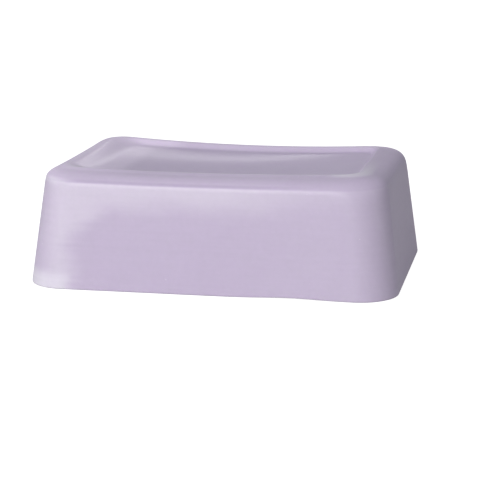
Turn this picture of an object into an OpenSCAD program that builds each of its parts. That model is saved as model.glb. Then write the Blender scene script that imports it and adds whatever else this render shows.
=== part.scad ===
// Flexible soap mould standing rim down over the block of soap that it has cast.
// The mould is one even skin. Its foot is a rounded border round a sunk panel, which is on top here.
// The block fills the mould, so it has the same draft, the same border and the same sunk panel.
// Origin: middle of the rim's plane. +X along the long side, +Z up, away from the rim.

/* [Outside of the mould] */
// Length over the rim, along X
rim_l = 170; // [140:1:220]
// Width over the rim, along Y
rim_w = 121; // [100:1:160]
// Height of the wall, from the rim to the edge where the border starts
wall_h = 49; // [30:0.1:70]
// Lean of the wall away from upright, in degrees
wall_lean = 7.1; // [2:0.1:9]
// Radius of the upright corners at the rim
rim_r = 18; // [14:0.5:24]
// Radius of the upright corners at the top edge of the wall
edge_r = 18.5; // [18:0.1:24]

/* [Border and sunk panel] */
// Width of the border's rounded part, from the wall's edge to its crest
border_w = 7.5; // [5:0.5:12]
// Slope of the rounded part where it leaves the wall, in degrees
border_steep = 50; // [30:1:65]
// Slope of the rounded part at the crest, in degrees
border_flat = 6; // [0:0.5:10]
// Radius of the corners of the crest
crest_r = 11; // [9:0.5:16]
// Width of the border's level top, from the crest to the step
top_w = 4.9; // [2:0.1:8]
// Radius of the corners of the step's upper edge
step_r = 9; // [6:0.5:14]
// Width of the step down to the panel
step_w = 1.8; // [1.2:0.1:4]
// Depth of that step
step_depth = 1.9; // [0.4:0.1:3]
// Depth of the dished panel's middle below its edge
panel_dish = 1.5; // [0:0.1:4]

/* [Sag of the soft foot] */
// Drop of the border's top in the middle of the long sides
crest_sag_long = 2.1; // [0:0.1:3]
// Drop of the border's top in the middle of the short sides
crest_sag_short = 0.9; // [0:0.1:2]
// Drop of the wall's top edge in the middle of the long sides
edge_sag = 1; // [0:0.1:2]

/* [Wall and block] */
// Thickness of the silicone
wall_t = 2.6; // [2:0.1:3.2]
// Gap all round between the mould and the block, once the mould has let go
gap = 0.3; // [0.2:0.05:0.5]

/* [Hidden] */

// Points on a ring: steps round each corner, along each long side and along each short side
corner_steps = 10;
long_steps = 14;
short_steps = 8;
ring_n = 4 * corner_steps + 2 * long_steps + 2 * short_steps;

// Rings up the wall, over the border, along its top, down the step and across the panel
wall_steps = 4;
border_steps = 7;
top_steps = 2;
step_steps = 4;
panel_steps = 7;

// Inset of the wall's top edge and of the border's crest
edge_in = wall_h * tan(wall_lean);
crest_in = edge_in + border_w;

// The rounded part is one arc: its radius follows from its width and its two slopes
border_r = border_w / (sin(border_steep) - sin(border_flat));

// Half lengths over which the crest and the wall's edge sag
crest_x = rim_l / 2 - crest_in;
crest_y = rim_w / 2 - crest_in;
edge_x = rim_l / 2 - edge_in;

// Half lengths of the panel at the foot of the step
panel_x = crest_x - top_w - step_w;
panel_y = crest_y - top_w - step_w;

// Under the step, a skin lies this share of its own depth further out, so that it keeps its thickness
step_shift = 0.4;

// Slope and height of the border's arc at inset d
function border_slope(d) = asin(sin(border_steep) - (d - edge_in) / border_r);
function border_z(d) = wall_h + border_r * (cos(border_slope(d)) - cos(border_steep));

// Height at inset d of a skin that lies t below the border
function under_border(d, t) = border_z(d) - t / cos(border_slope(d));

// Inset of the wall's skin at height z and depth t
function wall_in(z, t) = z * tan(wall_lean) + t / cos(wall_lean);

// Height at which the wall's skin meets the border's skin, by a few rounds of substitution
function skin_edge_z(t, z, rounds) =
    rounds == 0 ? z : skin_edge_z(t, under_border(wall_in(z, t), t), rounds - 1);

// Outline of a rounded rectangle with half sizes hx and hy and corner radius r, anticlockwise
function along(a, b, n) = [for (i = [0 : n - 1]) a + (b - a) * i / n];
function arc(cx, cy, r, from) =
    [for (i = [0 : corner_steps - 1])
        let (a = from + 90 * i / corner_steps) [cx + r * cos(a), cy + r * sin(a)]];
function outline(hx, hy, r) =
    let (x = hx - r, y = hy - r)
    concat(
        arc(x, y, r, 0), along([x, hy], [-x, hy], long_steps),
        arc(-x, y, r, 90), along([-hx, y], [-hx, -y], short_steps),
        arc(-x, -y, r, 180), along([-x, -hy], [x, -hy], long_steps),
        arc(x, -y, r, 270), along([hx, -y], [hx, y], short_steps));

// The same outline at inset d from the rim's, lifted to height z
function inset_outline(d, r) = outline(rim_l / 2 - d, rim_w / 2 - d, r);
function lifted(points, z) = [for (p = points) [p[0], p[1], z]];

// Share of a sag at v: none at a half length from the middle, all of it in the middle
function bowl(v, half) = max(0, 1 - pow(v / half, 2));

// A point of the panel, which is dished below height z
function dished(p, z) =
    [p[0], p[1], z - panel_dish * bowl(p[0], panel_x) * bowl(p[1], panel_y)];

// Points dropped by up to sag_long towards the middle of X and by up to sag_short towards the middle of Y
function sagged(points, sag_long, half_x, sag_short) =
    [for (p = points)
        [p[0], p[1], p[2] - sag_long * bowl(p[0], half_x) - sag_short * bowl(p[1], crest_y)]];

// All rings of a skin that lies t inside the mould's outside, from the rim to the panel's middle
function skin(t) =
    let (
        top_z = skin_edge_z(t, wall_h, 8),
        top_in = wall_in(top_z, t),
        crest_z = under_border(crest_in, t),
        lip = crest_in + top_w - step_shift * t,
        edge_arc = edge_r - (top_in - edge_in),
        panel_ring = inset_outline(lip + step_w, step_r - step_w))
    concat(
        [for (i = [0 : wall_steps])
            let (s = i / wall_steps, z = top_z * s, r = rim_r + (edge_r - rim_r) * s)
            sagged(lifted(inset_outline(wall_in(z, t), r - t / cos(wall_lean)), z),
                edge_sag * s * s, edge_x, 0)],
        [for (i = [1 : border_steps])
            let (s = i / border_steps, d = top_in + (crest_in - top_in) * s)
            sagged(lifted(inset_outline(d, edge_arc + (crest_r - edge_arc) * s), under_border(d, t)),
                edge_sag + (crest_sag_long - edge_sag) * s,
                edge_x + (crest_x - edge_x) * s, crest_sag_short * s)],
        [for (i = [1 : top_steps])
            let (s = i / top_steps)
            sagged(lifted(inset_outline(crest_in + (lip - crest_in) * s,
                    crest_r + (step_r - crest_r) * s), crest_z),
                crest_sag_long, crest_x, crest_sag_short)],
        [for (i = [1 : step_steps])
            let (s = i / step_steps)
            sagged(lifted(inset_outline(lip + step_w * s, step_r - step_w * s),
                    crest_z - step_depth * (1 - cos(180 * s)) / 2),
                crest_sag_long, crest_x, crest_sag_short)],
        [for (i = [1 : panel_steps - 1])
            let (s = 1 - i / panel_steps)
            sagged([for (p = panel_ring * s) dished(p, crest_z - step_depth)],
                crest_sag_long, crest_x, crest_sag_short)]);

// The middle point that closes a skin
function skin_middle(t) =
    [0, 0, under_border(crest_in, t) - step_depth - panel_dish - crest_sag_long - crest_sag_short];

function flat(lists) = [for (l = lists) for (v = l) v];

// Bands between rings a .. b of a stack that starts at point first. Flipped bands face inwards.
function bands(first, a, b, flipped) =
    [for (k = [a : b - 1]) for (i = [0 : ring_n - 1])
        let (
            j = (i + 1) % ring_n,
            p = first + k * ring_n + i,
            q = first + k * ring_n + j)
        each flipped
            ? [[p, q, p + ring_n], [q, q + ring_n, p + ring_n]]
            : [[q, p, p + ring_n], [q, p + ring_n, q + ring_n]]];

// Fan from ring k of a stack to its middle point
function fan(first, k, middle, flipped) =
    [for (i = [0 : ring_n - 1])
        let (p = first + k * ring_n + i, q = first + k * ring_n + (i + 1) % ring_n)
        flipped ? [p, q, middle] : [q, p, middle]];

// The rim's flat face, between the first ring of the outer stack and that of the inner one
function rim_band(inner) =
    [for (i = [0 : ring_n - 1])
        let (j = (i + 1) % ring_n)
        each [[i, j, inner + i], [j, inner + j, inner + i]]];

// Silicone skin, open at the rim
module mould() {
    outer = skin(0);
    inner = skin(wall_t);
    rings = len(outer);
    count = rings * ring_n;
    color([0.77, 0.72, 0.81])
        polyhedron(
            points = concat(flat(outer), flat(inner), [skin_middle(0), skin_middle(wall_t)]),
            faces = concat(
                bands(0, 0, rings - 1, false),
                fan(0, rings - 1, 2 * count, false),
                bands(count, 0, rings - 1, true),
                fan(count, rings - 1, 2 * count + 1, true),
                rim_band(count)),
            convexity = 4);
}

// Cast soap, flat on its poured face
module soap_block() {
    body = skin(wall_t + gap);
    rings = len(body);
    count = rings * ring_n;
    color([0.80, 0.68, 0.80])
        polyhedron(
            points = concat(flat(body), [skin_middle(wall_t + gap), [0, 0, 0]]),
            faces = concat(
                bands(0, 0, rings - 1, false),
                fan(0, rings - 1, count, false),
                fan(0, 0, count + 1, true)),
            convexity = 4);
}

mould();
soap_block();
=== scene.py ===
import math

import bpy
import numpy as np
from mathutils import Matrix, Vector


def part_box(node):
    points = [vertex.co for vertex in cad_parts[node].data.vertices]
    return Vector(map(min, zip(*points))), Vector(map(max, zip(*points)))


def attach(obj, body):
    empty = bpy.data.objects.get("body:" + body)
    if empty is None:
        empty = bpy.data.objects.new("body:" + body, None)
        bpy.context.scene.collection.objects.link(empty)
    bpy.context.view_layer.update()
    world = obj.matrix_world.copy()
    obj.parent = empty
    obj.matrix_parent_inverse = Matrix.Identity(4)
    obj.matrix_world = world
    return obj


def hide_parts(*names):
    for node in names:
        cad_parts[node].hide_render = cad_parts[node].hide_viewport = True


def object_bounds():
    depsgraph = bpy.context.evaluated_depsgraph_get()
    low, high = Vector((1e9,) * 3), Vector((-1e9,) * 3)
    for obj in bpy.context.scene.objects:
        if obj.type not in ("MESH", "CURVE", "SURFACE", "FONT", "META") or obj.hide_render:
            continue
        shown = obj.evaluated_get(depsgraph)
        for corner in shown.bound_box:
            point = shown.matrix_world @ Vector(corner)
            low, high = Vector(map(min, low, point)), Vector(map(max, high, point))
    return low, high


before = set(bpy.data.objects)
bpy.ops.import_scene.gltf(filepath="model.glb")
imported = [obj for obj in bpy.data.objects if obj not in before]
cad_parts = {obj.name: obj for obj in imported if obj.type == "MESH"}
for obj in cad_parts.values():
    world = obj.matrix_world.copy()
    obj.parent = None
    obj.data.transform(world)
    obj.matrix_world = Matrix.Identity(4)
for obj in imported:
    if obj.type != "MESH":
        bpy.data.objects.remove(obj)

cad_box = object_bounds()

# ---- Camera ---------------------------------------------------------------------------------
# A long lens a little above the mould's top, turned a few degrees towards its right-hand end.
# The lens stands off across, up and back by so many lengths of the rim.
LENS, SENSOR = 120.6, 36
SIDEWAYS, ABOVE, ROLL = (math.radians(a) for a in (11.66, 12.70, -0.307))
ACROSS, RAISED, AWAY = 0.0259, 0.0669, 4.558
back = Vector((math.sin(SIDEWAYS) * math.cos(ABOVE),
               -math.cos(SIDEWAYS) * math.cos(ABOVE),
               math.sin(ABOVE)))
level = Vector((math.cos(SIDEWAYS), math.sin(SIDEWAYS), 0))
upright = back.cross(level)
right = level * math.cos(ROLL) + upright * math.sin(ROLL)
up = upright * math.cos(ROLL) - level * math.sin(ROLL)
rim_length = cad_box[1].x - cad_box[0].x
eye = (right * ACROSS + up * RAISED + back * AWAY) * rim_length
camera = bpy.data.objects.new("camera", bpy.data.cameras.new("camera"))
camera.data.lens, camera.data.sensor_width = LENS, SENSOR
camera.data.clip_start, camera.data.clip_end = 0.05, 60
camera.matrix_world = Matrix.Translation(eye) @ Matrix((right, up, back)).transposed().to_4x4()
bpy.context.scene.collection.objects.link(camera)
bpy.context.scene.camera = camera
bpy.context.scene.view_settings.view_transform = "Standard"


# ---- Floor ----------------------------------------------------------------------------------
# A plain white board that the mould stands on. It is painted, and runs far behind the mould, so
# that it fills the whole view. It glows for the camera, which leaves only a soft shadow on it.
BOARD_HALF, BOARD_BELOW = 5.0, 0.0001
class Wire:
    """One value on its way through a finish. Its sums add Math nodes."""

    def __init__(self, finish, socket):
        self.finish, self.socket = finish, socket

    def sum_with(self, operation, first, second):
        return self.finish.node("ShaderNodeMath", {"operation": operation}, {0: first, 1: second})

    def __add__(self, other):
        return self.sum_with("ADD", self, other)

    def __radd__(self, other):
        return self.sum_with("ADD", other, self)

    def __sub__(self, other):
        return self.sum_with("SUBTRACT", self, other)

    def __rsub__(self, other):
        return self.sum_with("SUBTRACT", other, self)

    def __mul__(self, other):
        return self.sum_with("MULTIPLY", self, other)

    def __rmul__(self, other):
        return self.sum_with("MULTIPLY", other, self)


class Finish:
    """A material, and the one way in which nodes are added to it."""

    def __init__(self, name):
        self.material = bpy.data.materials.new(name)
        self.material.use_nodes = True
        self.tree = self.material.node_tree
        self.tree.nodes.clear()

    def node(self, kind, settings=None, sockets=None, out=0):
        """Adds a node of a kind, sets it up, feeds its sockets, and returns its output out."""
        new = self.tree.nodes.new(kind)
        for name, value in (settings or {}).items():
            setattr(new, name, value)
        for name, value in (sockets or {}).items():
            if isinstance(value, Wire):
                self.tree.links.new(value.socket, new.inputs[name])
            else:
                new.inputs[name].default_value = value
        return Wire(self, new.outputs[out]) if new.outputs else new


board_paint = Finish("white_board")
to_camera = board_paint.node("ShaderNodeLightPath", out="Is Camera Ray")
lit = board_paint.node("ShaderNodeBsdfDiffuse", sockets={"Color": (0.5, 0.5, 0.5, 1)})
in_gloss = board_paint.node("ShaderNodeLightPath", out="Is Glossy Ray")
glow = board_paint.node("ShaderNodeEmission", sockets={
    "Color": (1, 1, 1, 1), "Strength": to_camera * 0.9 + in_gloss * 0.3})
both = board_paint.node("ShaderNodeAddShader", sockets={0: lit, 1: glow})
board_paint.node("ShaderNodeOutputMaterial", sockets={"Surface": both})
board_mesh = bpy.data.meshes.new("board")
corners = np.array([(-1, -1, 0), (1, -1, 0), (1, 1, 0), (-1, 1, 0)]) * BOARD_HALF
board_mesh.from_pydata((corners + (0, 0, cad_box[0].z - BOARD_BELOW)).tolist(), [], [(0, 1, 2, 3)])
board_mesh.materials.append(board_paint.material)
board = bpy.data.objects.new("board", board_mesh)
bpy.context.scene.collection.objects.link(board)


# ---- Lights ---------------------------------------------------------------------------------
# A grey room that looks white to the camera, and three soft boxes: a wide one in front, a little to
# the left, a dim one at the right-hand end, and a low narrow one behind, which the panel mirrors.
ROOM_LIGHT, ROOM_SEEN = 0.37, 1.1


def soft_box(name, turn, height, distance, size, power):
    """A lit rectangle aimed at the mould. It stands at a turn from the front towards the right and at a
    height above the floor, both in degrees, and distance away. Distance and size are in metres."""
    lamp = bpy.data.lights.new(name, "AREA")
    lamp.shape, lamp.size, lamp.size_y = "RECTANGLE", *size
    lamp.energy = power
    aim = Vector((0, 0, cad_box[1].z / 2))
    turn, height = math.radians(turn), math.radians(height)
    away = Vector((math.sin(turn) * math.cos(height), -math.cos(turn) * math.cos(height),
                   math.sin(height)))
    facing = away.to_track_quat("Z", "Y").to_matrix().to_4x4()
    holder = bpy.data.objects.new(name, lamp)
    holder.matrix_world = Matrix.Translation(aim + away * distance) @ facing
    holder.visible_camera = False
    bpy.context.scene.collection.objects.link(holder)


soft_box("front_box", -16, 25, 1.6, (1.1, 0.7), 18.8)
soft_box("side_box", 95, 15, 1.8, (1.0, 0.7), 0.4)
soft_box("back_box", 191, 16, 2.2, (0.34, 0.11), 0.55)
room = bpy.data.worlds.new("room")
room.use_nodes = True
walls = room.node_tree.nodes["Background"]
walls.inputs["Color"].default_value = (0.955, 0.972, 1.04, 1)
brightness = room.node_tree.nodes.new("ShaderNodeMapRange")
brightness.inputs["To Min"].default_value = ROOM_LIGHT
brightness.inputs["To Max"].default_value = ROOM_SEEN
ray = room.node_tree.nodes.new("ShaderNodeLightPath")
room.node_tree.links.new(ray.outputs["Is Camera Ray"], brightness.inputs["Value"])
room.node_tree.links.new(brightness.outputs["Result"], walls.inputs["Strength"])
bpy.context.scene.world = room


# ---- Mould ----------------------------------------------------------------------------------
# The mould: one even skin of soft lavender silicone, cast in one piece and standing on its rim.
# Its foot is on top: a rounded border with a nearly level top, and a step down to a dished panel.
# The foot has sagged a little, most of all at the far right, as soft silicone does.
# Its sizes are in millimetres. Lists of four are for the left, right, near and far sides.
MM = 0.001
rim_x, rim_y = (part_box("mould")[1] / MM)[:2]
WALL = 2.6
WALL_HEIGHT, WALL_LEAN = 48.9, 0.1248
RIM_ROUND, EDGE_ROUND, CREST_ROUND, LIP_ROUND, PANEL_ROUND = 18.2, 18.5, 10.9, 9.0, 6.8
# The border's rounded part is an arc of this width and rise, squeezed to each side's own width
BORDER, BORDER_RISE = 7.5, 3.75
BORDER_WIDE = np.array([6.1, 7.4, 10.6, 5.9])[:, None]
STEEP, FLAT = math.radians(66), math.radians(10)
TOP_WIDE, TOP_RISE = np.array([3.6, 5.9, 3.9, 4.4])[:, None], 0.85
STEP_WIDE, STEP_DROP = np.array([12.0, 2.6, 2.6, 5.0])[:, None], 2.2
DISH = 1.4
# Inside the skin, the step lies this share of the depth further out, so that the skin keeps its wall
STEP_SHIFT = 0.4
# A faint ledge under the border, this far below the wall's edge. The right-hand end has none.
LEDGE, LEDGE_BELOW, LEDGE_REACH = np.array([0.2, 0.0, 0.2, 0.2])[:, None], 0.5, 0.3
# Sag of the wall's edge in the middle and at its two ends, and of the border's top in the middle of
# each side, with the lean of the near and the far sag. Then how far each corner stands proud.
EDGE_SAG, EDGE_SAG_LEFT, EDGE_SAG_RIGHT = 1.06, 0.38, 0.24
SAG_LEFT, SAG_RIGHT, SAG_NEAR, SAG_FAR = 1.22, 0.64, 1.44, 2.82
NEAR_LEAN, FAR_LEAN = -0.2, 0.06
PROUD_NEAR_LEFT, PROUD_NEAR_RIGHT, PROUD_FAR_LEFT, PROUD_FAR_RIGHT = 0.04, 0.48, 1.0, -0.8
# The near side of the rim is lifted by this much, at this place along it and over this reach
LIFT, LIFT_AT, LIFT_REACH = 0.7, 38, 16
# Points round each corner, along each long side and along each short side
CORNER_POINTS, LONG_POINTS, SHORT_POINTS = 28, 70, 50
# The walk is a running measure up the wall and in over the foot, for the finish to follow. The wall
# counts its height, and these are the counts of the border, its level top, the step and the panel.
BORDER_WALK, TOP_WALK, STEP_WALK, PANEL_WALK = 10, 5, 3, 42


def bowl(at, half, lean=0.0):
    """A parabola: 1 in the middle and 0 at a half length from it. A cubic part makes it lean aside."""
    q = np.clip(at / half, -1, 1)
    return (1 - q * q) * (1 + lean * q)


def ring_of_points():
    """Round corners joined by straight sides, once round. For each point: how far along the straight
    half sides it lies, from -1 to 1, and its share of the corner radius, each along X and along Y."""
    turn = np.arange(CORNER_POINTS) / CORNER_POINTS * (math.pi / 2)
    sides = []
    corners = np.array([(1, 1), (-1, 1), (-1, -1), (1, -1)])
    outward = np.array([(0, 1), (-1, 0), (0, -1), (1, 0)])
    for quarter, points in enumerate((LONG_POINTS, SHORT_POINTS, LONG_POINTS, SHORT_POINTS)):
        angle = quarter * math.pi / 2 + turn
        here, ahead = corners[quarter], corners[(quarter + 1) % 4]
        straight = here + (ahead - here) * np.arange(points)[:, None] / points
        sides.append(np.column_stack([np.tile(here, (CORNER_POINTS, 1)), np.cos(angle), np.sin(angle)]))
        sides.append(np.hstack([straight, np.tile(outward[quarter], (points, 1))]))
    return np.vstack(sides).T


def skin(depth, fine=0.25):
    """The surface that lies depth under the mould's outside, as rings of points from the rim's plane
    to the middle of the panel, in millimetres. Each ring is a rounded rectangle that is inset by its own
    amount on each side. Up the wall the inset grows with height by the wall's lean. Over the border the
    height follows an arc from a steep slope to a flat one, lowered by depth over the cosine of the
    slope. After the level top a half cosine steps down to the panel, where the rings shrink to the
    middle and the height falls by a parabola along X times one along Y. Last, the sag is taken off.
    Rings lie about fine apart. The walk of each ring is returned with them."""
    spread, rise = math.sin(STEEP) - math.sin(FLAT), math.cos(FLAT) - math.cos(STEEP)

    def border_height(s):
        tilt = np.arcsin(math.sin(STEEP) - s * spread)
        slope = np.tan(tilt) * spread / rise * BORDER_RISE / BORDER
        risen = (np.cos(tilt) - math.cos(STEEP)) / rise
        return WALL_HEIGHT + BORDER_RISE * risen - depth * np.hypot(1, slope)

    thick = depth * math.hypot(1, WALL_LEAN)
    edge_in = WALL_HEIGHT * WALL_LEAN
    # Where the wall's skin meets the border's, as a share of the border, by rounds of substitution
    meet = 0.0
    for _ in range(12 if depth else 0):
        meet = (float(border_height(meet)) * WALL_LEAN + thick - edge_in) / BORDER
    meet_z = float(border_height(meet))
    meet_in = meet_z * WALL_LEAN + thick

    # One share from 0 to 1 for each band, with as many rings as its length along the section asks for
    lengths = (meet_z, 1.2 * BORDER, 4.9, 4.0, 42)
    wall, border, level_top, step, panel = (
        np.linspace(0, 1, int(length / fine), endpoint=False) for length in lengths)
    crest_in = edge_in + BORDER_WIDE
    lip_in = crest_in + TOP_WIDE - STEP_SHIFT * depth
    crest_z = float(border_height(1.0))
    ledge = np.exp(-((wall * meet_z - WALL_HEIGHT + LEDGE_BELOW) / LEDGE_REACH) ** 2) * (depth == 0)
    z = np.concatenate([
        wall * meet_z,
        border_height(meet + (1 - meet) * border),
        crest_z + TOP_RISE * (1 - (1 - level_top) ** 2),
        crest_z + TOP_RISE - STEP_DROP * (1 - np.cos(np.pi * step)) / 2,
        np.full(len(panel), crest_z + TOP_RISE - STEP_DROP)])
    inset = np.hstack([
        wall * meet_z * WALL_LEAN + thick + LEDGE * ledge,
        meet_in + (crest_in - meet_in) * border,
        crest_in + (lip_in - crest_in) * level_top,
        lip_in + STEP_WIDE * step,
        np.tile(lip_in + STEP_WIDE, (1, len(panel)))])
    edge_round = EDGE_ROUND - (meet_in - edge_in)
    rounding = np.concatenate([
        RIM_ROUND + (EDGE_ROUND - RIM_ROUND) * wall * meet_z / WALL_HEIGHT - thick,
        edge_round + (CREST_ROUND - edge_round) * border,
        CREST_ROUND + (LIP_ROUND - CREST_ROUND) * level_top,
        LIP_ROUND + (PANEL_ROUND - LIP_ROUND) * step,
        np.full(len(panel), PANEL_ROUND)])
    past_border = len(level_top) + len(step) + len(panel)
    shrink = np.concatenate([np.ones(len(z) - len(panel)), 1 - panel])
    edge_share = np.concatenate([(wall * meet_z / WALL_HEIGHT) ** 2, 1 - border, np.zeros(past_border)])
    crest_share = np.concatenate([np.zeros(len(wall)), border, np.ones(past_border)])
    dish_share = np.concatenate([np.zeros(len(z) - len(panel)), np.ones(len(panel))])
    walk, start = [wall * WALL_HEIGHT], WALL_HEIGHT
    for band, count in (border, BORDER_WALK), (level_top, TOP_WALK), (step, STEP_WALK), (panel, PANEL_WALK):
        walk.append(start + band * count)
        start += count
    walk = np.concatenate(walk)

    left, right_side = -rim_x + inset[0], rim_x - inset[1]
    near, far = -rim_y + inset[2], rim_y - inset[3]
    straight_x, straight_y, round_x, round_y = ring_of_points()
    middle = np.array([(left + right_side) / 2, (near + far) / 2])[:, :, None]
    half = np.array([(right_side - left) / 2, (far - near) / 2])[:, :, None]
    r = rounding[:, None]
    x = middle[0] + shrink[:, None] * (straight_x * (half[0] - r) + round_x * r)
    y = middle[1] + shrink[:, None] * (straight_y * (half[1] - r) + round_y * r)
    dish = DISH * bowl(x - middle[0], half[0]) * bowl(y - middle[1], half[1])
    edge_x, edge_y = rim_x - edge_in, rim_y - edge_in
    X, Y = np.clip(x / edge_x, -1, 1), np.clip(y / rim_y, -1, 1)
    foot_x, foot_y = edge_x - 6, edge_y - 6
    edge_sag = EDGE_SAG * bowl(x, edge_x) + (EDGE_SAG_LEFT * (1 - X) + EDGE_SAG_RIGHT * (1 + X)) / 2
    side_sag = (SAG_NEAR * bowl(x, foot_x, NEAR_LEAN) * (1 - Y)
                + SAG_FAR * bowl(x, foot_x, FAR_LEAN) * (1 + Y)
                + (SAG_LEFT * (1 - X) + SAG_RIGHT * (1 + X)) * bowl(y, foot_y)) / 2
    proud = (PROUD_NEAR_LEFT * (1 - X) * (1 - Y) + PROUD_NEAR_RIGHT * (1 + X) * (1 - Y)
             + PROUD_FAR_LEFT * (1 - X) * (1 + Y) + PROUD_FAR_RIGHT * (1 + X) * (1 + Y)) / 4
    height = (z[:, None] - dish_share[:, None] * dish - edge_share[:, None] * edge_sag
              - crest_share[:, None] * (side_sag - proud))
    return np.stack([x, y, np.broadcast_to(height, x.shape)], axis=2), walk


def averaged(rings, reach):
    """Rings averaged with their neighbours under a bell curve, which rounds the edges they cross."""
    span = np.arange(-3 * reach, 3 * reach + 1)
    bell = np.exp(-0.5 * (span / reach) ** 2)
    bell /= bell.sum()
    padded = np.concatenate([rings[:1].repeat(3 * reach, 0), rings, rings[-1:].repeat(3 * reach, 0)])
    return sum(share * padded[i:i + len(rings)] for i, share in enumerate(bell))


def softened(rings, reach, edge_reach=11):
    """Crisp edges all round, except that the border's edge melts into the wall round the right-hand
    end. There, the rings go over to ones averaged over a longer reach. The share of those grows along
    X from 52 to 72 mm and up the wall from 30 to 40 mm, and only within 16 mm of the outline."""
    crisp, melted = averaged(rings, reach), averaged(rings, edge_reach)
    x, z = crisp[..., 0], crisp[..., 2]
    share = np.clip((x - 52) / 20, 0, 1) * np.clip((z - 30) / 10, 0, 1) * (x > 0)
    inboard = np.clip((x - 68) / 4, 0, 1) + np.clip((np.abs(crisp[..., 1]) - 44) / 4, 0, 1)
    share = (share * np.clip(inboard, 0, 1))[..., None]
    return crisp + (melted - crisp) * share * share * (3 - 2 * share)


def chosen_rings(rings, longest, sharpest):
    """Indexes of the rings to keep: closer together where the section turns, further apart where it
    runs straight. Each step is worth its length over the longest plus its turn over the sharpest."""
    at = CORNER_POINTS + LONG_POINTS // 2
    run = np.diff(rings[:, at], axis=0)
    length = np.linalg.norm(run, axis=1)
    heading = run / np.maximum(length, 1e-6)[:, None]
    turn = np.arccos(np.clip((heading[1:] * heading[:-1]).sum(1), -1, 1))
    worth = length / longest + np.concatenate([[0], turn]) / math.radians(sharpest)
    total = np.concatenate([[0], np.cumsum(worth)])
    marks = np.linspace(0, total[-1], int(total[-1]) + 1)
    return np.unique(np.searchsorted(total, marks).clip(0, len(rings) - 1))


def closed_mesh(name, rings, walk):
    """A closed surface: bands of quads between neighbouring rings, and at each end a fan of triangles
    to the mean point of the last ring. The walk of each ring goes into the mesh as an attribute."""
    count, around = rings.shape[:2]
    points = np.concatenate([rings.reshape(-1, 3), [rings[0].mean(0), rings[-1].mean(0)]]) * MM
    i = np.arange(around)
    j = (i + 1) % around
    base = (np.arange(count - 1) * around)[:, None]
    quads = np.stack([base + i, base + j, base + around + j, base + around + i], axis=2).reshape(-1, 4)
    first, last = count * around, count * around + 1
    end = (count - 1) * around
    fans = np.concatenate([
        np.stack([np.full(around, first), j, i], axis=1),
        np.stack([end + i, end + j, np.full(around, last)], axis=1)])
    mesh = bpy.data.meshes.new(name)
    mesh.from_pydata(points.tolist(), [], quads.tolist() + fans.tolist())
    mesh.polygons.foreach_set("use_smooth", np.ones(len(mesh.polygons), bool))
    mark = mesh.attributes.new("walk", "FLOAT", "POINT")
    walks = np.concatenate([np.repeat(walk, around), [walk[0], walk[-1]]])
    mark.data.foreach_set("value", walks.astype(np.float32))
    mesh.update()
    piece = bpy.data.objects.new(name, mesh)
    bpy.context.scene.collection.objects.link(piece)
    return piece


def rim_lift(rings):
    """The near side of the rim stands a little off the board, right of the middle. The lift is a bell
    curve along X, and it fades with the square of the height over the lowest 20 mm of the wall."""
    x, y, z = rings[..., 0], rings[..., 1], rings[..., 2]
    low = np.clip(1 - z / 20, 0, 1) ** 2
    near_wall = y < -0.8 * rim_y + 0.12 * z
    lifted = rings.copy()
    lifted[..., 2] += LIFT * np.exp(-((x - LIFT_AT) / LIFT_REACH) ** 2) * low * near_wall
    return lifted


outside, outside_walk = skin(0)
inside, inside_walk = skin(WALL)
band = np.linspace(0, 1, 11)[1:-1, None, None]
rim_band = inside[0] + (outside[0] - inside[0]) * band
mould_rings = np.concatenate([inside[::-1], rim_band, outside])
mould_walk = np.concatenate([-inside_walk[::-1], np.zeros(len(rim_band)), outside_walk])
mould_rings = rim_lift(softened(mould_rings, 2))
keep = chosen_rings(mould_rings, 2.4, 9)
mould_rings, mould_walk = mould_rings[keep][1:-1], mould_walk[keep][1:-1]
mould = closed_mesh("mould_skin", mould_rings, mould_walk)

silicone = Finish("silicone_lavender")


def smooth_step(value, low, high):
    """0 below low, 1 above high, and an even S between them."""
    return value.finish.node("ShaderNodeMapRange", {"interpolation_type": "SMOOTHSTEP"},
                             {"Value": value, "From Min": low, "From Max": high})


def between(share, first, second):
    """Colour that goes from first to second as share goes from 0 to 1. Mix takes them at 6 and 7."""
    return share.finish.node("ShaderNodeMix", {"data_type": "RGBA"},
                             {0: share, 6: first, 7: second}, out=2)


place = silicone.node("ShaderNodeTexCoord", out="Object")
in_mm = silicone.node("ShaderNodeVectorMath", {"operation": "SCALE"}, {0: place, "Scale": 1 / MM})
split = silicone.node("ShaderNodeSeparateXYZ", sockets={0: in_mm})
x_mm, y_mm, z_mm = (Wire(silicone, s) for s in split.socket.node.outputs)
walk_mm = silicone.node("ShaderNodeAttribute", {"attribute_name": "walk"}, out="Fac")

x_off = silicone.node("ShaderNodeMath", {"operation": "ABSOLUTE"}, {0: x_mm})
y_off = silicone.node("ShaderNodeMath", {"operation": "ABSOLUTE"}, {0: y_mm})


def mottle(stretch, detail=2.0):
    """Soft random patches, centred on 0, with their size along X, Y and Z in millimetres."""
    sized = silicone.node("ShaderNodeVectorMath", {"operation": "DIVIDE"}, {0: in_mm, 1: stretch})
    noise = silicone.node("ShaderNodeTexNoise", sockets={
        "Vector": sized, "Scale": 1.0, "Detail": detail})
    return noise - 0.5


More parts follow.
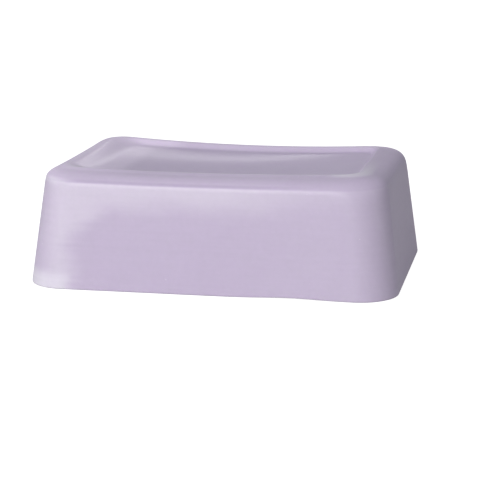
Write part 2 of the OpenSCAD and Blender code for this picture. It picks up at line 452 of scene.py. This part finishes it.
# The walls keep the deeper core colour over most of their faces. In the corners and near the top of
# each wall a pale sheen is painted on, a painted highlight. The core patch ends in level fingers at the
# left.
fingers = mottle((60, 60, 3.2), 1.0)
patches = mottle((26, 26, 14))
to_right = smooth_step(x_mm, 5, 60)
long_left = smooth_step(x_mm - 13 * smooth_step(z_mm, 21, 38) + fingers * 11 + patches * 10, -70, -54)
long_right = 1 - smooth_step(x_mm + patches * 12, 60, 72) * 0.5
long_core = long_left * long_right * smooth_step(y_off, 49, 52)
end_core = (1 - smooth_step(y_off + fingers * 14, 38, 48)) * smooth_step(x_off, 73, 76)
below_top = 1 - smooth_step(walk_mm - 5 * to_right + patches * 10, 31, 46) * (1 - 0.6 * to_right)
sheen_free_core = (long_core + end_core) * below_top * (1 - 0.16 * to_right)
on_wall = 1 - smooth_step(walk_mm, 48.3, 49.2)
outer = smooth_step(walk_mm, -0.1, 0.1)
# The pale margin on the walls, outside the core patch, is a painted highlight.
painted_sheen = (1 - sheen_free_core) * on_wall * outer * (1 - 0.7 * smooth_step(x_mm, 52, 74)) * (
    0.35 + 0.65 * smooth_step(x_mm, -78, -66))
# Near the floor at the left-hand corner the colour goes nearly white: painted light.
painted_corner_light = ((1 - smooth_step(x_mm + patches * 6, -67, -60)) * (1 - smooth_step(z_mm + patches * 4, 4, 9))
         * outer)

# The border, and the left of the panel, are painted paler, most of all at the left and the back: painted
# light.
# The panel has a deeper tint. Where the lip turns the near right-hand corner of the panel it is palest, a
# painted highlight.
inward = walk_mm - 24 * (1 - smooth_step(x_mm, -70, -26))
foot_rim = smooth_step(walk_mm, 48.6, 50.0) * (1 - smooth_step(inward, 58, 71))
behind = smooth_step(y_mm, 30, 46)
leftward = (1 - smooth_step(x_mm, -70, -30)) * smooth_step(y_mm, -54, -34)
either = behind + leftward - behind * leftward
# The paler border is painted light.
painted_rim_light = foot_rim * (0.22 + 0.78 * either) * (1 - 0.6 * to_right * (1 - behind))
sunk = smooth_step(walk_mm, 61, 68) * (0.1 + 0.9 * smooth_step(x_mm, -72, -20))
# The pale patch on the lip at the near right-hand corner is a painted highlight.
painted_lip_highlight = (smooth_step(walk_mm, 57.5, 61) * (1 - smooth_step(walk_mm, 62, 66))
             * smooth_step(x_mm, 50, 60) * (1 - smooth_step(y_mm, -38, 10)) * 0.75)

CORE, PALE, WHITE = (0.560, 0.482, 0.625, 1), (0.675, 0.612, 0.722, 1), (0.735, 0.690, 0.780, 1)
DEEP, RIM_LIGHT_TONE, CREASE_SHADE = (0.570, 0.488, 0.645, 1), (0.775, 0.675, 0.840, 1), (0.440, 0.370, 0.510, 1)
tone = between(painted_corner_light, between(painted_sheen * 0.9, CORE, PALE), WHITE)
# A few tiny pale specks, about a centimetre apart
to_speck = silicone.node("ShaderNodeTexVoronoi", sockets={
    "Vector": in_mm, "Scale": 0.12}, out="Distance")
speck = (1 - smooth_step(to_speck, 0.02, 0.05)) * 0.5
# Along the near side a thin pale line on the lip is a painted highlight, and a thin dark line at the
# root of the border is painted shade. A short pale line at the left-hand end of the root is a painted
# highlight.
near_side = 1 - smooth_step(y_mm, -44, -30)
lip_highlight_line = smooth_step(walk_mm, 61.5, 63.2) * (1 - smooth_step(walk_mm, 64.2, 66.0)) * near_side * 0.5
# The dark line at the border's root is painted shade.
root_shade_line = (smooth_step(walk_mm, 48.8, 49.4) * (1 - smooth_step(walk_mm, 49.7, 51.0)) * near_side
             * (1 - 0.9 * to_right) * smooth_step(x_mm, -66, -56) * 0.45)
# The pale line at the left-hand end of the border's root is a painted highlight.
root_end_highlight = (smooth_step(walk_mm, 46.5, 48.5) * (1 - smooth_step(walk_mm, 49.5, 51.5)) * near_side
            * (1 - smooth_step(x_mm, -72, -60)) * 0.6)
tone = between(speck + root_end_highlight, tone, WHITE)
tone = between(painted_lip_highlight + lip_highlight_line, between(painted_rim_light, between(sunk, tone, DEEP), RIM_LIGHT_TONE), WHITE)
tone = between(root_shade_line, tone, CREASE_SHADE)
streaks = (mottle((45, 45, 1.6), 3.0) * 0.05 + mottle((7, 7, 7), 3.0) * 0.04
           + mottle((2.4, 2.4, 1.8), 3.0) * 0.06 + 1)
tinted = silicone.node("ShaderNodeVectorMath", {"operation": "SCALE"}, {0: tone, "Scale": streaks})

grain = silicone.node("ShaderNodeTexNoise", sockets={"Vector": in_mm, "Scale": 1.6, "Detail": 3.0})
waves = mottle((22, 22, 9), 1.0)
surface = silicone.node("ShaderNodeBump", sockets={
    "Strength": 0.12, "Distance": 0.0002, "Height": grain * 0.6 + waves * 2.0})
silicone_shader = silicone.node("ShaderNodeBsdfPrincipled", sockets={
    "Base Color": tinted, "Roughness": patches * 0.12 + 0.52, "Normal": surface,
    "IOR": 1.41, "Specular IOR Level": 0.2,
    "Subsurface Weight": 0.25, "Subsurface Radius": (1.0, 0.8, 1.1), "Subsurface Scale": 0.0015,
    "Coat Weight": 0.14, "Coat Roughness": 0.13})
silicone.node("ShaderNodeOutputMaterial", sockets={"Surface": silicone_shader})
mould.data.materials.append(silicone.material)
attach(mould, "mould")
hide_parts("mould")


# ---- Soap block -----------------------------------------------------------------------------
# The casting: one block of opaque soap that fills the mould, poured level with the mould's rim.
# Its sides are the mould's inside, one silicone wall and a film of air further in.
GAP = 0.3
SOAP, PALE_SOAP, BUBBLE_SHADE = (0.62, 0.46, 0.62, 1), (0.69, 0.55, 0.68, 1), (0.42, 0.29, 0.43, 1)
sides, sides_walk = skin(WALL + GAP)
poured = sides[0] * np.linspace(0.02, 1, 90, endpoint=False)[:, None, None]
block_rings = softened(np.concatenate([poured, sides]), 3)
block_walk = np.concatenate([np.full(len(poured), -1.0), sides_walk])
keep = chosen_rings(block_rings, 2.6, 9)
block_rings, block_walk = block_rings[keep][1:-1], block_walk[keep][1:-1]
block = closed_mesh("cast_soap", block_rings, block_walk)

# Two shades of soap, folded into each other by the pour, with small bubbles that are cut open; their pits
# are painted darker, as painted shade
soap = Finish("cast_soap")
soap_place = soap.node("ShaderNodeTexCoord", out="Object")
soap_mm = soap.node("ShaderNodeVectorMath", {"operation": "SCALE"}, {0: soap_place, "Scale": 1 / MM})
swirl = soap.node("ShaderNodeTexWave", {"bands_direction": "DIAGONAL"}, {
    "Vector": soap_mm, "Scale": 0.017, "Distortion": 6.0, "Detail": 3.0, "Detail Scale": 1.4},
    out="Fac")
clouds = soap.node("ShaderNodeTexNoise", sockets={
    "Vector": soap_mm, "Scale": 0.06, "Detail": 3.0}, out="Fac")
folded = smooth_step(swirl * 0.7 + clouds * 0.6, 0.45, 1.0)
to_bubble = soap.node("ShaderNodeTexVoronoi", sockets={
    "Vector": soap_mm, "Scale": 0.17}, out="Distance")
bubble = 1 - smooth_step(to_bubble, 0.05, 0.10)
chalk = soap.node("ShaderNodeTexNoise", sockets={
    "Vector": soap_mm, "Scale": 0.9, "Detail": 3.0}, out="Fac")
# The darker colour inside the bubbles is painted shade.
soap_tone = between(bubble * 0.5, between(folded, SOAP, PALE_SOAP), BUBBLE_SHADE)
soap_surface = soap.node("ShaderNodeBump", sockets={
    "Strength": 0.35, "Distance": 0.0003, "Height": chalk * 0.4 + clouds * 1.2 - bubble})
soap_shader = soap.node("ShaderNodeBsdfPrincipled", sockets={
    "Base Color": soap_tone, "Roughness": clouds * 0.25 + 0.35, "Normal": soap_surface, "IOR": 1.46,
    "Subsurface Weight": 0.3, "Subsurface Radius": (1.0, 0.7, 0.8), "Subsurface Scale": 0.002})
soap.node("ShaderNodeOutputMaterial", sockets={"Surface": soap_shader})
block.data.materials.append(soap.material)
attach(block, "block")
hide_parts("soap_block")
